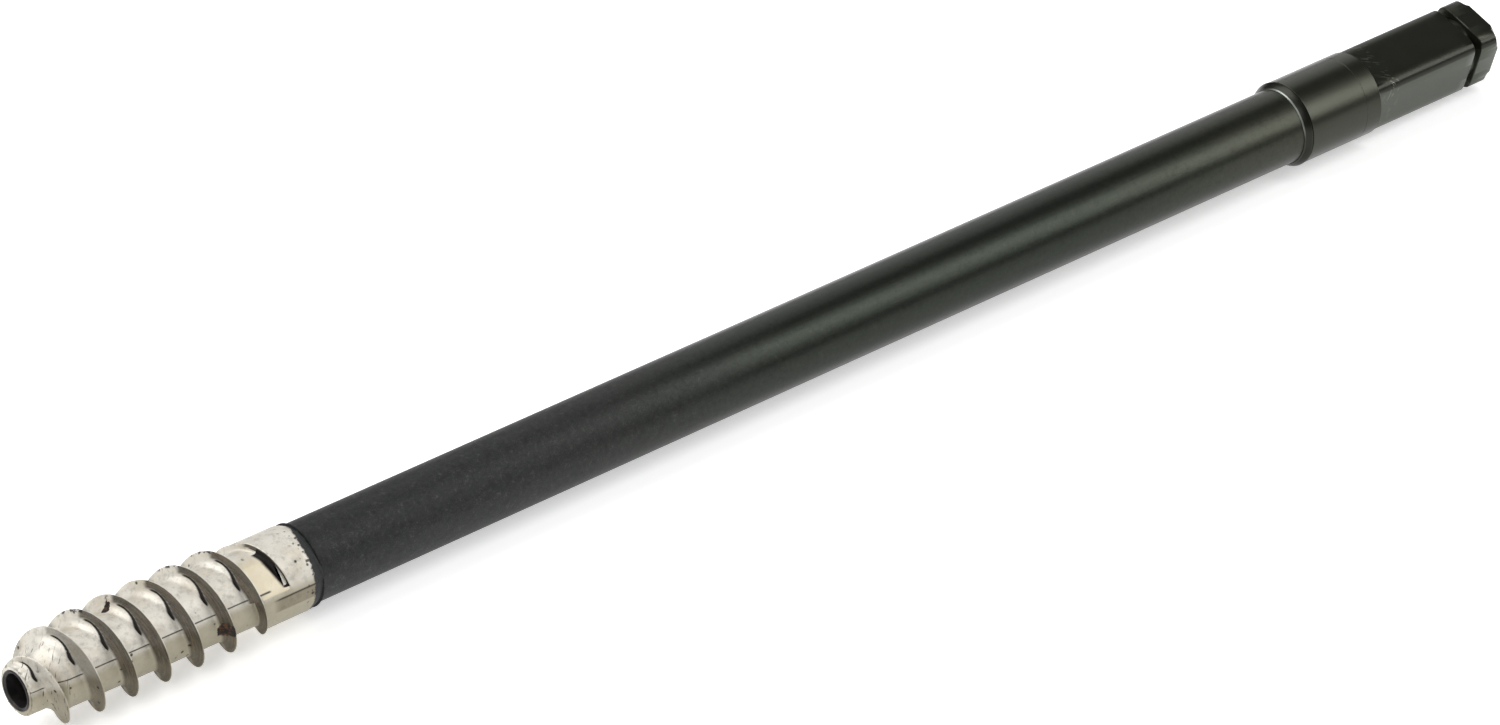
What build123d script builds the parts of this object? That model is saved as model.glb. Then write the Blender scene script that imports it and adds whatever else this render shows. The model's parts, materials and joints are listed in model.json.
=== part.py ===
"""Long hollow ice screw with a cast two-start tip and a square drive end.

The screw lies along +X. The origin is the centre of the mouth in the nose, +X runs from the nose to
the drive end, and +Z is up. Every size is in millimetres. An angle about the axis is measured from
+Y towards +Z.
"""

import os
from math import cos, radians, sin

from build123d import *

# Shaft tube
SHAFT_RADIUS = 8.0
SHAFT_BORE_RADIUS = 6.0
SHAFT_FRONT_X = 56.0
SHAFT_REAR_X = 331.0

# Core tube, the liner that the ice core enters
CORE_RADIUS = 4.1
CORE_BORE_RADIUS = 3.35
CORE_LENGTH = 34.0

# Cast tip
NOSE_FACE_X = 0.3
NOSE_RADIUS = 5.1
NOSE_CHAMFER = 0.5
NOSE_END_X = 4.6
ROOT_START_X = 8.6
ROOT_RADIUS = 7.0
BOSS_START_X = 52.6
BOSS_RADIUS = 8.55
BOSS_END_X = 63.3
CASTING_END_X = 64.7

# Thread: two right-hand starts
THREAD_STARTS = 2
THREAD_LEAD = 15.0
CREST_RADIUS = 9.85
CREST_WIDTH = 0.45
BLADE_BASE_WIDTH = 1.0
FOOT_FILLET = 1.3
FOOT_OVERLAP = 0.1
BLADE_INNER_RADIUS = 4.4
CREST_REFERENCE_X = 7.2
CREST_REFERENCE_ANGLE = 231.0
FIRST_CREST_RADIUS = 9.15
THREAD_FRONT_X = 0.4
THREAD_TAPER_X = 50.6
THREAD_REAR_X = 55.4

# Runout pads: a flat on each side of the boss where the thread groove runs out
PAD_ANGLE = 129.0
PAD_DISTANCE = 6.9
PAD_FRONT_X = 48.6
PAD_REAR_X = 54.0

# Mandrel that joins the cast tip to the shaft tube
MANDREL_FRONT_X = 10.0
MANDREL_REAR_X = 92.0
MANDREL_RADIUS = 5.2
MANDREL_FLAT_DISTANCE = 4.7
MANDREL_FLATS_END_X = 50.0
MANDREL_BORE_RADIUS = 3.6

# Drive end
SPIGOT_FRONT_X = 300.0
RING_FRONT_X = 318.3
RING_CREST_X = 319.8
RING_REAR_X = 320.0
RING_RADIUS = 9.12
SLEEVE_FRONT_X = 320.15
SLEEVE_REAR_X = 335.5
SLEEVE_RADIUS = 9.0
SQUARE_START_X = 339.6
DRIVE_END_X = 374.8
SQUARE_ACROSS_FLATS = 14.0
SQUARE_CORNER_RADIUS = 8.8
SQUARE_FLAT_ANGLE = 107.0
GROOVE_X = 368.5
GROOVE_WIDTH = 1.9
GROOVE_RADIUS = 6.4
END_CHAMFER = 1.0

# Locking dowels: two at each end of the shaft tube
DOWEL_RADIUS = 1.5
DOWEL_INNER_RADIUS = 4.3
DOWEL_OUTER_RADIUS = 7.7
DOWEL_STATIONS_X = (60.0, 325.0)
DOWEL_ANGLES = (90.0, 270.0)


def turned(points):
    """Solid turned about the X axis from an outline of (x, radius) corners."""
    outline = Polyline(*points, close=True)
    return revolve(make_face(outline), Axis.X)


def rod(start_x, end_x, radius):
    """Plain round bar between two stations."""
    return turned([(start_x, 0), (end_x, 0), (end_x, radius), (start_x, radius)])


def radial_direction(angle):
    """Unit vector square to the axis at an angle about it."""
    return Vector(0, cos(radians(angle)), sin(radians(angle)))


def slab_beyond(start_x, end_x, angle, distance):
    """Block that covers everything further out than a flat at this distance from the axis."""
    thickness = 10.0
    middle = radial_direction(angle) * (distance + thickness / 2)
    middle += Vector((start_x + end_x) / 2, 0, 0)
    frame = Plane(origin=middle, x_dir=(1, 0, 0), z_dir=radial_direction(angle))
    return frame * Box(end_x - start_x, 30.0, thickness)


def dowel(station_x, angle):
    """One round dowel set radially in the tube wall and the plug inside it."""
    base = radial_direction(angle) * DOWEL_INNER_RADIUS + Vector(station_x, 0, 0)
    frame = Plane(origin=base, x_dir=(1, 0, 0), z_dir=radial_direction(angle))
    length = DOWEL_OUTER_RADIUS - DOWEL_INNER_RADIUS
    return frame * Cylinder(DOWEL_RADIUS, length, align=(Align.CENTER, Align.CENTER, Align.MIN))


def all_dowels():
    """The four identical dowels."""
    return [dowel(station, angle) for station in DOWEL_STATIONS_X for angle in DOWEL_ANGLES]


def without_dowel_holes(solid):
    """The solid with a hole for each dowel."""
    for pin in all_dowels():
        solid -= pin
    return solid


def core_tube():
    """Thin tube whose rim shows in the nose."""
    return rod(0, CORE_LENGTH, CORE_RADIUS) - rod(0, CORE_LENGTH, CORE_BORE_RADIUS)


def mandrel_outer():
    """Mandrel without its bore: a keyed nose in the casting and a plug in the shaft tube."""
    body = rod(MANDREL_FRONT_X, SHAFT_FRONT_X, MANDREL_RADIUS)
    body += rod(SHAFT_FRONT_X, MANDREL_REAR_X, SHAFT_BORE_RADIUS)
    for angle in (0.0, 180.0):
        body -= slab_beyond(MANDREL_FRONT_X, MANDREL_FLATS_END_X, angle, MANDREL_FLAT_DISTANCE)
    return body


def tip_mandrel():
    """Mandrel bored through, with a seat for the core tube."""
    body = mandrel_outer() - rod(0, MANDREL_REAR_X, MANDREL_BORE_RADIUS)
    body -= rod(0, CORE_LENGTH, CORE_RADIUS)
    return without_dowel_holes(body)


def shaft_tube():
    """Long plain tube."""
    body = rod(SHAFT_FRONT_X, SHAFT_REAR_X, SHAFT_RADIUS)
    body -= rod(SHAFT_FRONT_X, SHAFT_REAR_X, SHAFT_BORE_RADIUS)
    return without_dowel_holes(body)


def threaded_core_blank():
    """Nose and thread root, with no thread, run on past the front of the boss."""
    return turned([
        (NOSE_FACE_X, 0),
        (NOSE_FACE_X, NOSE_RADIUS - NOSE_CHAMFER),
        (NOSE_FACE_X + NOSE_CHAMFER, NOSE_RADIUS),
        (NOSE_END_X, NOSE_RADIUS),
        (ROOT_START_X, ROOT_RADIUS),
        (BOSS_END_X, ROOT_RADIUS),
        (BOSS_END_X, 0),
    ])


def boss():
    """Plain boss behind the thread, tapered down to the shaft tube."""
    return turned([
        (BOSS_START_X, 0),
        (BOSS_START_X, BOSS_RADIUS),
        (BOSS_END_X, BOSS_RADIUS),
        (CASTING_END_X, SHAFT_RADIUS),
        (CASTING_END_X, 0),
    ])


def blade_section():
    """Section of one blade: radius along X, and the screw's length along Y. Its front foot is filleted."""
    half_crest = CREST_WIDTH / 2
    half_base = BLADE_BASE_WIDTH / 2
    foot_radius = ROOT_RADIUS - FOOT_OVERLAP
    foot_y = -half_base - FOOT_FILLET
    fillet_step = FOOT_FILLET * (1 - cos(radians(45)))
    line = Polyline(
        (foot_radius + FOOT_FILLET, -half_base),
        (CREST_RADIUS, -half_crest),
        (CREST_RADIUS, half_crest),
        (BLADE_INNER_RADIUS, half_base),
        (BLADE_INNER_RADIUS, foot_y),
        (foot_radius, foot_y),
    )
    line += ThreePointArc(
        (foot_radius, foot_y),
        (foot_radius + fillet_step, -half_base - fillet_step),
        (foot_radius + FOOT_FILLET, -half_base),
    )
    return make_face(line)


def thread_envelope():
    """Turned body that the thread stays inside: it tapers at the nose and at the boss."""
    second_crest_x = CREST_REFERENCE_X + THREAD_LEAD / THREAD_STARTS
    line = Polyline((THREAD_FRONT_X, 0), (THREAD_FRONT_X, NOSE_RADIUS - NOSE_CHAMFER))
    line += Spline(
        (THREAD_FRONT_X, NOSE_RADIUS - NOSE_CHAMFER),
        (CREST_REFERENCE_X, FIRST_CREST_RADIUS),
        (second_crest_x, CREST_RADIUS),
        tangents=[(1, 0.55), (1, 0)],
    )
    line += Polyline(
        (second_crest_x, CREST_RADIUS),
        (THREAD_TAPER_X, CREST_RADIUS),
        (THREAD_REAR_X, BOSS_RADIUS - 0.4),
        (THREAD_REAR_X, 0),
        (THREAD_FRONT_X, 0),
    )
    return revolve(make_face(line), Axis.X)


def thread_blade(start_index):
    """One start of the thread, swept along its helix past both ends of the thread."""
    front_x = CREST_REFERENCE_X - THREAD_LEAD / 2
    front_angle = CREST_REFERENCE_ANGLE - 180.0 + 360.0 * start_index / THREAD_STARTS
    path = Helix(THREAD_LEAD, THREAD_REAR_X + 1.0 - front_x, CREST_RADIUS)
    upright_section = Plane(origin=(0, 0, 0), x_dir=(1, 0, 0), z_dir=(0, -1, 0)) * blade_section()
    lying_blade = Rot(0, 90, 0) * sweep(upright_section, path=path, is_frenet=True)
    return Pos(front_x, 0, 0) * Rot(front_angle - 270.0, 0, 0) * lying_blade


def threaded_front():
    """Nose and thread, cut off square at the front of the boss."""
    blank = threaded_core_blank()
    body = blank
    for start_index in range(THREAD_STARTS):
        body += thread_blade(start_index)
    body &= thread_envelope() + blank
    length = BOSS_END_X - BOSS_START_X + 1.0
    return body - Pos(BOSS_START_X + length / 2, 0, 0) * Box(length, 30.0, 30.0)


def screw_casting():
    """Cast tip: nose, two-start thread and boss, cast around the mandrel and the tube's end."""
    body = threaded_front() + boss()
    for side in (0.0, 180.0):
        body -= slab_beyond(PAD_FRONT_X, PAD_REAR_X, PAD_ANGLE + side, PAD_DISTANCE)
    body -= rod(0, MANDREL_FRONT_X + 1.0, CORE_RADIUS)
    body -= mandrel_outer()
    body -= rod(SHAFT_FRONT_X, CASTING_END_X, SHAFT_RADIUS)
    return body


def drive_sleeve():
    """Plain ferrule over the tube's end and the step of the shank."""
    return rod(SLEEVE_FRONT_X, SLEEVE_REAR_X, SLEEVE_RADIUS) - rod(SLEEVE_FRONT_X, SLEEVE_REAR_X, SHAFT_RADIUS)


def mouth_ring():
    """Ring with a rounded front, round the tube just ahead of the sleeve."""
    line = ThreePointArc(
        (RING_FRONT_X, SHAFT_RADIUS),
        (RING_FRONT_X + 0.3 * (RING_CREST_X - RING_FRONT_X), SHAFT_RADIUS + 0.6 * (RING_RADIUS - SHAFT_RADIUS)),
        (RING_CREST_X, RING_RADIUS),
    )
    line += Polyline(
        (RING_CREST_X, RING_RADIUS),
        (RING_REAR_X, SLEEVE_RADIUS),
        (RING_REAR_X, SHAFT_RADIUS),
        (RING_FRONT_X, SHAFT_RADIUS),
    )
    return revolve(make_face(line), Axis.X)


def drive_square():
    """Square with rounded corners, a retaining groove and a chamfered end."""
    length = DRIVE_END_X - SQUARE_START_X
    block = Pos((SQUARE_START_X + DRIVE_END_X) / 2, 0, 0) * Box(length, SQUARE_ACROSS_FLATS, SQUARE_ACROSS_FLATS)
    block = Rot(SQUARE_FLAT_ANGLE - 90.0, 0, 0) * block
    end_radius = SQUARE_CORNER_RADIUS - END_CHAMFER
    envelope = turned([
        (SQUARE_START_X, 0),
        (SQUARE_START_X, SQUARE_CORNER_RADIUS),
        (GROOVE_X - GROOVE_WIDTH / 2, SQUARE_CORNER_RADIUS),
        (GROOVE_X - GROOVE_WIDTH / 2, GROOVE_RADIUS),
        (GROOVE_X + GROOVE_WIDTH / 2, GROOVE_RADIUS),
        (GROOVE_X + GROOVE_WIDTH / 2, SQUARE_CORNER_RADIUS),
        (DRIVE_END_X - END_CHAMFER, SQUARE_CORNER_RADIUS),
        (DRIVE_END_X, end_radius),
        (DRIVE_END_X, 0),
    ])
    return block & envelope


def drive_shank():
    """Bored spigot, shoulder and drive square, machined from one bar."""
    body = rod(SPIGOT_FRONT_X, SHAFT_REAR_X, SHAFT_BORE_RADIUS)
    body += rod(SHAFT_REAR_X, SLEEVE_REAR_X, SHAFT_RADIUS)
    body += rod(SLEEVE_REAR_X, SQUARE_START_X, SLEEVE_RADIUS)
    body += drive_square()
    body -= rod(SPIGOT_FRONT_X, DRIVE_END_X, CORE_BORE_RADIUS)
    return without_dowel_holes(body)


def main():
    """Build every piece and write it to its own file."""
    os.makedirs("parts", exist_ok=True)
    pieces = {
        "screw_casting": screw_casting(),
        "core_tube": core_tube(),
        "tip_mandrel": tip_mandrel(),
        "shaft_tube": shaft_tube(),
        "drive_sleeve": drive_sleeve(),
        "mouth_ring": mouth_ring(),
        "drive_shank": drive_shank(),
        "locking_dowels": Compound(children=all_dowels()),
    }
    for name, piece in pieces.items():
        export_step(piece, f"parts/{name}.step")


if __name__ == "__main__":
    main()
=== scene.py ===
"""Looks of a long hollow ice screw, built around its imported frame.

The screw lies along +X on a pale floor, nose at the origin. Lengths in the sizes below are in
millimetres and turn into metres where a mesh is made. An angle about the axis is measured from +Y
towards +Z.
"""

import json
import logging
import math
from dataclasses import dataclass, field
from enum import Enum
from typing import Callable, Sequence, Union

import bmesh
import bpy
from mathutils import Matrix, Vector, noise

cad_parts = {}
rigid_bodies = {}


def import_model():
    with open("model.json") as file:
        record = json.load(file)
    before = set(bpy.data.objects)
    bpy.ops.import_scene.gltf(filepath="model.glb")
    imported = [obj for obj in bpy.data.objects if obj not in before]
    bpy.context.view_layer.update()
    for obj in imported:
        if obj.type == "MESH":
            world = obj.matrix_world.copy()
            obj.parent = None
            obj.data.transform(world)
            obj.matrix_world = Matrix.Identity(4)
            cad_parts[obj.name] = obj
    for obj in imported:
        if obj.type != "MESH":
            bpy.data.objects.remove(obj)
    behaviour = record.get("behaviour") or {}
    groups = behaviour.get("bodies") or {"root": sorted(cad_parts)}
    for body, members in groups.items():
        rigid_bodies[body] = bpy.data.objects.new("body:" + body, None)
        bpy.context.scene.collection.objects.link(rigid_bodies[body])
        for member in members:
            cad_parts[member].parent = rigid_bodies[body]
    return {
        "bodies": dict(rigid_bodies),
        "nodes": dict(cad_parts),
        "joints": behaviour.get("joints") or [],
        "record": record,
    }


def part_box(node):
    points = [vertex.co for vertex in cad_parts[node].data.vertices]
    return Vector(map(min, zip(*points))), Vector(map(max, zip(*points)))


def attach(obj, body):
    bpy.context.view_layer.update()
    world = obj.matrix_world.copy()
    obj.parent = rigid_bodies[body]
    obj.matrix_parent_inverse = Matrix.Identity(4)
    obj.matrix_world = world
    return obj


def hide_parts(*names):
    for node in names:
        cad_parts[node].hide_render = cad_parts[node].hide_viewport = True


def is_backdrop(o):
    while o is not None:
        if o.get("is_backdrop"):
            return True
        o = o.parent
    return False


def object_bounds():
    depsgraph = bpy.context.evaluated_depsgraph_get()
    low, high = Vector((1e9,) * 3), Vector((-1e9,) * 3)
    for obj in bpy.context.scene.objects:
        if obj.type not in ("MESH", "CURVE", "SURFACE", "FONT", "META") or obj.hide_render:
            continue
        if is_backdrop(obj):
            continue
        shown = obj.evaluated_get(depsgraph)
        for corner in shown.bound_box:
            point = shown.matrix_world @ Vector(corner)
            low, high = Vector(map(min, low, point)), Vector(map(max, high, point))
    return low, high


LOG = logging.getLogger("ice_screw")
MM = 0.001
FLOOR_GAP = 0.00002
OUT_OF_REACH = 99.0
MERGE_MM = 0.002
SLIVER_MM = 0.0005

Number = Union[int, float]
Pair = tuple[float, float]
Triple = tuple[float, float, float]
Colour = Triple
Point = Triple
Face = tuple[int, ...]


class Slot(Enum):
    """Material slots of the record, one held by each piece."""

    CAST = "cast_alloy"
    CORE = "core_black"
    SHAFT = "shaft_black"
    DRIVE = "drive_black"


# Shader maths


class Signal:
    """One output socket, with operators that add Math nodes."""

    def __init__(self, graph: "Graph", socket: bpy.types.NodeSocket) -> None:
        """Wraps a socket.

        Args:
            graph: The node graph that the socket belongs to.
            socket: The output socket.
        """
        self.graph = graph
        self.socket = socket

    def _math(self, operation: str, first: "Value", second: "Value") -> "Signal":
        """Adds a Math node on two values and returns its result."""
        return self.graph.node("ShaderNodeMath", {"operation": operation}, {0: first, 1: second})

    def __add__(self, other: "Value") -> "Signal":
        """Sum."""
        return self._math("ADD", self, other)

    def __radd__(self, other: "Value") -> "Signal":
        """Sum, number first."""
        return self._math("ADD", other, self)

    def __sub__(self, other: "Value") -> "Signal":
        """Difference."""
        return self._math("SUBTRACT", self, other)

    def __rsub__(self, other: "Value") -> "Signal":
        """Difference, number first."""
        return self._math("SUBTRACT", other, self)

    def __mul__(self, other: "Value") -> "Signal":
        """Product."""
        return self._math("MULTIPLY", self, other)

    def __rmul__(self, other: "Value") -> "Signal":
        """Product, number first."""
        return self._math("MULTIPLY", other, self)

    def __truediv__(self, other: "Value") -> "Signal":
        """Quotient."""
        return self._math("DIVIDE", self, other)

    def __pow__(self, other: "Value") -> "Signal":
        """Power."""
        return self._math("POWER", self, other)

    def __abs__(self) -> "Signal":
        """Size without sign."""
        return self._math("ABSOLUTE", self, 0.0)

    def above(self, low: Number, high: Number) -> "Signal":
        """Smooth step that is 0 at low and 1 at high; swap the two for a falling step."""
        return self.graph.node(
            "ShaderNodeMapRange",
            {"interpolation_type": "SMOOTHSTEP"},
            {"Value": self, "From Min": low, "From Max": high, "To Min": 0.0, "To Max": 1.0},
        )

    def near(self, centre: Number, width: Number) -> "Signal":
        """Soft band that is 1 at centre and 0 a width away on either side."""
        return abs(self - centre).above(width, 0.0)


Value = Union[Signal, Number, Sequence[float]]


class Graph:
    """Node graph of one material, around a Principled shader."""

    def __init__(self, name: str) -> None:
        """Makes an empty material with a Principled shader on its output.

        Args:
            name: The material's name.
        """
        self.material = bpy.data.materials.new(name)
        self.material.use_nodes = True
        self.tree = self.material.node_tree
        self.tree.nodes.clear()
        self.shader = self.tree.nodes.new("ShaderNodeBsdfPrincipled")
        output = self.tree.nodes.new("ShaderNodeOutputMaterial")
        self.tree.links.new(self.shader.outputs[0], output.inputs["Surface"])

    def feed(self, socket: bpy.types.NodeSocket, value: Value) -> None:
        """Links a signal to a socket, or sets the socket's own value."""
        if isinstance(value, Signal):
            self.tree.links.new(value.socket, socket)
        elif isinstance(value, (int, float)):
            socket.default_value = value
        else:
            size = len(socket.default_value)
            socket.default_value = (tuple(value) + (1.0,))[:size]

    def node(
        self,
        kind: str,
        settings: dict[str, object] | None = None,
        sockets: dict[Union[int, str], Value] | None = None,
        output: Union[int, str] = 0,
    ) -> Signal:
        """Adds a node.

        Args:
            kind: The node's type.
            settings: Its settings, set first.
            sockets: Values or signals for its inputs, by name or number.
            output: Which output to return.

        Returns:
            The chosen output.
        """
        made = self.tree.nodes.new(kind)
        for key, value in (settings or {}).items():
            setattr(made, key, value)
        for key, value in (sockets or {}).items():
            self.feed(self._input(made, key), value)
        return Signal(self, made.outputs[output])

    @staticmethod
    def _input(made: bpy.types.Node, key: Union[int, str]) -> bpy.types.NodeSocket:
        """Finds an input by number, or by identifier and then by name."""
        if isinstance(key, int):
            return made.inputs[key]
        for socket in made.inputs:
            if socket.identifier == key:
                return socket
        return made.inputs[key]

    def position(self) -> Signal:
        """Place on the object in millimetres."""
        place = self.node("ShaderNodeTexCoord", output="Object")
        scaled = {0: place, "Scale": 1 / MM}
        return self.node("ShaderNodeVectorMath", {"operation": "SCALE"}, scaled)

    def axis_part(self, vector: Signal, axis: str) -> Signal:
        """One part of a vector, "X", "Y" or "Z"."""
        return self.node("ShaderNodeSeparateXYZ", {}, {0: vector}, output=axis)

    def axis_distance(self, vector: Signal) -> Signal:
        """Distance from the screw's axis."""
        across, up = self.axis_part(vector, "Y"), self.axis_part(vector, "Z")
        return (across * across + up * up) ** 0.5

    def stretched(self, vector: Signal, factors: Triple) -> Signal:
        """The vector with each part multiplied by its own factor."""
        return self.node("ShaderNodeVectorMath", {"operation": "MULTIPLY"}, {0: vector, 1: factors})

    def slanted(self, vector: Signal, turn: float) -> Signal:
        """The vector turned about the Z axis, in radians."""
        return self.node(
            "ShaderNodeVectorRotate", {"rotation_type": "Z_AXIS"}, {"Vector": vector, "Angle": turn}
        )

    def noise(
        self, vector: Signal, scale: float, detail: float = 3.0, rough: float = 0.55
    ) -> Signal:
        """Smooth noise between 0 and 1; scale counts lumps per millimetre."""
        return self.node(
            "ShaderNodeTexNoise",
            {"noise_dimensions": "3D"},
            {"Vector": vector, "Scale": scale, "Detail": detail, "Roughness": rough},
        )

    def cells(self, vector: Signal, scale: float) -> Signal:
        """Distance to the nearest of many scattered points."""
        return self.node(
            "ShaderNodeTexVoronoi",
            {"feature": "F1"},
            {"Vector": vector, "Scale": scale, "Randomness": 1.0},
            output="Distance",
        )

    def mixed(self, factor: Value, first: Value, second: Value) -> Signal:
        """Colour that goes from first to second as factor goes from 0 to 1."""
        return self.node(
            "ShaderNodeMix",
            {"data_type": "RGBA"},
            {"Factor_Float": factor, "A_Color": first, "B_Color": second},
            output=2,
        )

    def angle_about_axis(self, vector: Signal) -> Signal:
        """Angle about the screw's axis in degrees, from -180 to 180."""
        turn = self.node(
            "ShaderNodeMath",
            {"operation": "ARCTAN2"},
            {0: self.axis_part(vector, "Z"), 1: self.axis_part(vector, "Y")},
        )
        return turn * (180.0 / math.pi)

    def facing(self, vector: Signal, angle: float) -> Signal:
        """Cosine of the turn about the axis between a place and an angle in degrees."""
        turn = math.radians(angle)
        across, up = self.axis_part(vector, "Y"), self.axis_part(vector, "Z")
        return (across * math.cos(turn) + up * math.sin(turn)) / self.axis_distance(vector)

    def attribute(self, name: str) -> Signal:
        """A number stored on the mesh's points."""
        return self.node("ShaderNodeAttribute", {"attribute_name": name}, {}, output="Fac")

    def bump(self, height: Signal, depth_mm: float) -> Signal:
        """Normal bent by a height between 0 and 1 that stands for a depth in millimetres."""
        sockets = {"Height": height, "Distance": depth_mm * MM, "Strength": 1.0}
        return self.node("ShaderNodeBump", {}, sockets)

    def finish(self, **sockets: Value) -> bpy.types.Material:
        """Feeds the Principled shader; Base_Color stands for the socket Base Color.

        Returns:
            The finished material.
        """
        for key, value in sockets.items():
            self.feed(self.shader.inputs[key.replace("_", " ")], value)
        return self.material


# Finishes


@dataclass(frozen=True)
class CastAlloyFinish:
    """Creamy silver cast alloy: soft grain, flank stains with painted shade, pores, a parting line,
    and painted shade at the flank feet and on the underside.
    """

    bright: Colour = (0.74, 0.705, 0.635)
    warm: Colour = (0.50, 0.44, 0.33)
    underside_shade_colour: Colour = (0.30, 0.27, 0.19)
    grey: Colour = (0.40, 0.38, 0.345)
    flank: Colour = (0.020, 0.015, 0.008)
    flank_light: Colour = (0.092, 0.064, 0.032)
    pad: Colour = (0.72, 0.64, 0.47)
    # Soot colour for pores, specks, scratches and the parting line, also used for painted shade.
    soot_and_shade: Colour = (0.012, 0.010, 0.008)
    rust: Colour = (0.095, 0.042, 0.018)
    black: Colour = (0.034, 0.035, 0.036)
    parting_angle: float = 158.7
    parting_outer: float = 1.9
    parting_inner: float = 0.3
    underside_angle: float = 216.0
    worn_angle: float = 168.0
    strip_angle: float = 182.0
    strip_upper_edge: Pair = (173.0, 2.4)
    strip_lower_edge: Pair = (181.0, 1.8)
    strip_start: Pair = (52.6, 54.6)
    flank_darkening_ramp: Pair = (1.0, 20.0)
    rear_pores: Pair = (59.5, 62.5)
    nose_scratches: Pair = (10.0, 6.0)
    scratch_turn: float = 0.9
    edge_x: float = 64.6
    edge_fade: float = 0.5
    relief: float = 0.15

    def build(self) -> bpy.types.Material:
        """Makes the material.

        Returns:
            The finished material.
        """
        g = Graph("cast_alloy_finish")
        place = g.position()
        along = g.axis_part(place, "X")
        angle = g.angle_about_axis(place)
        broad = g.noise(place, 0.16, 4.0)
        fine = g.noise(place, 3.2, 5.0, 0.65)
        mottle = g.noise(place, 0.75, 5.0, 0.7)
        colour = g.mixed(broad.above(0.42, 0.72) * 0.5, self.bright, self.warm)
        colour = g.mixed(mottle.above(0.45, 0.75) * 0.7, colour, self.grey)
        colour = g.mixed(fine.above(0.52, 0.8) * 0.3, colour, self.warm)
        # Painted shade: the underside, turned towards underside_angle, is tinted a darker beige.
        painted_underside_shade = g.facing(place, self.underside_angle).above(0.50, 0.74)
        colour = g.mixed(painted_underside_shade * 0.85, colour, self.underside_shade_colour)
        colour = g.mixed(g.attribute("pad") * (0.55 + 0.4 * mottle), colour, self.pad)

        # The tip-facing flanks are darkened brown: partly stain, partly painted shade, set by turn
        # angle and station.
        flank = g.attribute("flank")
        streaks = g.noise(self._along_thread(g, place, angle), 1.0, 4.0, 0.6)
        flank_colour = g.mixed(streaks.above(0.40, 0.64), self.flank, self.flank_light)
        rearwards = along.above(*self.flank_darkening_ramp)
        flank_stain_and_shade = flank * (0.30 + 0.68 * rearwards) * (0.80 + 0.20 * fine)
        colour = g.mixed(flank_stain_and_shade, colour, flank_colour)
        # Painted shade: dark crescents at the flank feet and the dark wall behind the flat.
        foot = g.attribute("foot") * g.noise(place, 0.45, 3.0).above(0.18, 0.30)
        rim = g.attribute("rim") * g.noise(place, 1.1, 3.0, 0.65).above(0.50, 0.57)
        colour = g.mixed(foot.above(0.35, 0.75), colour, self.soot_and_shade)
        colour = g.mixed(rim * 0.9, colour, self.soot_and_shade)

        band = (self.parting_outer, self.parting_inner)
        line = abs(angle - self.parting_angle).above(*band)
        other_line = abs(angle - (self.parting_angle - 180.0)).above(*band)
        broken = g.noise(place, 0.9, 3.0).above(0.24, 0.36)
        parting = (line + other_line) * g.attribute("root") * broken
        colour = g.mixed(parting * 0.9, colour, self.soot_and_shade)
        colour = self._boss_edge(g, colour, place, mottle)

        groups = g.noise(place, 0.13, 1.0).above(0.44, 0.52)
        pores = g.cells(place, 0.36).above(0.15, 0.08) * groups
        edge_pores = g.cells(place, 0.9).above(0.30, 0.16) * along.above(*self.rear_pores)
        pits = g.node("ShaderNodeMath", {"operation": "MAXIMUM"}, {0: pores, 1: edge_pores})
        colour = g.mixed(pits * 0.85, colour, self.soot_and_shade)

        worn_side = g.facing(place, self.worn_angle).above(-0.1, 0.75)
        reach = along + 1.7 * g.noise(place, 0.8, 4.0, 0.7) + 1.5 * worn_side
        ragged = reach.above(self.edge_x, self.edge_x + self.edge_fade)
        colour = g.mixed(ragged, colour, self.black)

        across_nose = g.stretched(g.slanted(place, self.scratch_turn), (3.2, 0.4, 0.4))
        scratches = g.noise(across_nose, 1.0, 2.0).above(0.62, 0.67)
        colour = g.mixed(scratches * along.above(*self.nose_scratches) * 0.8, colour, self.soot_and_shade)

        rust = g.attribute("rust")
        patch = (rust + 1.5 * (g.noise(place, 1.1, 4.0, 0.7) - 0.5)).above(0.40, 0.58)
        rust_colour = g.mixed(g.noise(place, 1.6, 3.0).above(0.47, 0.64), self.soot_and_shade, self.rust)
        colour = g.mixed(patch, colour, rust_colour)

        dirt = flank_stain_and_shade + pits * 0.4 + ragged * 0.5 + patch * 0.6
        roughness = 0.40 + 0.14 * fine + 0.10 * broad + dirt * 0.4
        metallic = 0.62 - 0.45 * dirt
        height = fine * 0.4 + mottle * 0.8 - pits * 0.9 - parting * 0.3
        return g.finish(
            Base_Color=colour,
            Roughness=roughness,
            Metallic=metallic,
            Normal=g.bump(height, self.relief),
        )

    def _along_thread(self, g: Graph, place: Signal, angle: Signal) -> Signal:
        """Coordinates in which fine lines run round the screw."""
        out, along = g.axis_distance(place), g.axis_part(place, "X")
        return g.node("ShaderNodeCombineXYZ", {}, {0: out * 4.0, 1: angle * 0.03, 2: along * 0.3})

    def _boss_edge(self, g: Graph, colour: Signal, place: Signal, mottle: Signal) -> Signal:
        """Brown strip along the boss with a dark edge on either side."""
        angle = g.angle_about_axis(place)
        on_boss = g.axis_part(place, "X").above(*self.strip_start)
        strip = on_boss * g.facing(place, self.strip_angle).above(0.985, 0.990)
        colour = g.mixed(strip * (0.25 + 0.45 * mottle), colour, self.flank_light)
        edges = angle.near(*self.strip_upper_edge) + 0.6 * angle.near(*self.strip_lower_edge)
        return g.mixed(edges * on_boss * mottle.above(0.22, 0.40) * 0.9, colour, self.soot_and_shade)


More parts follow.
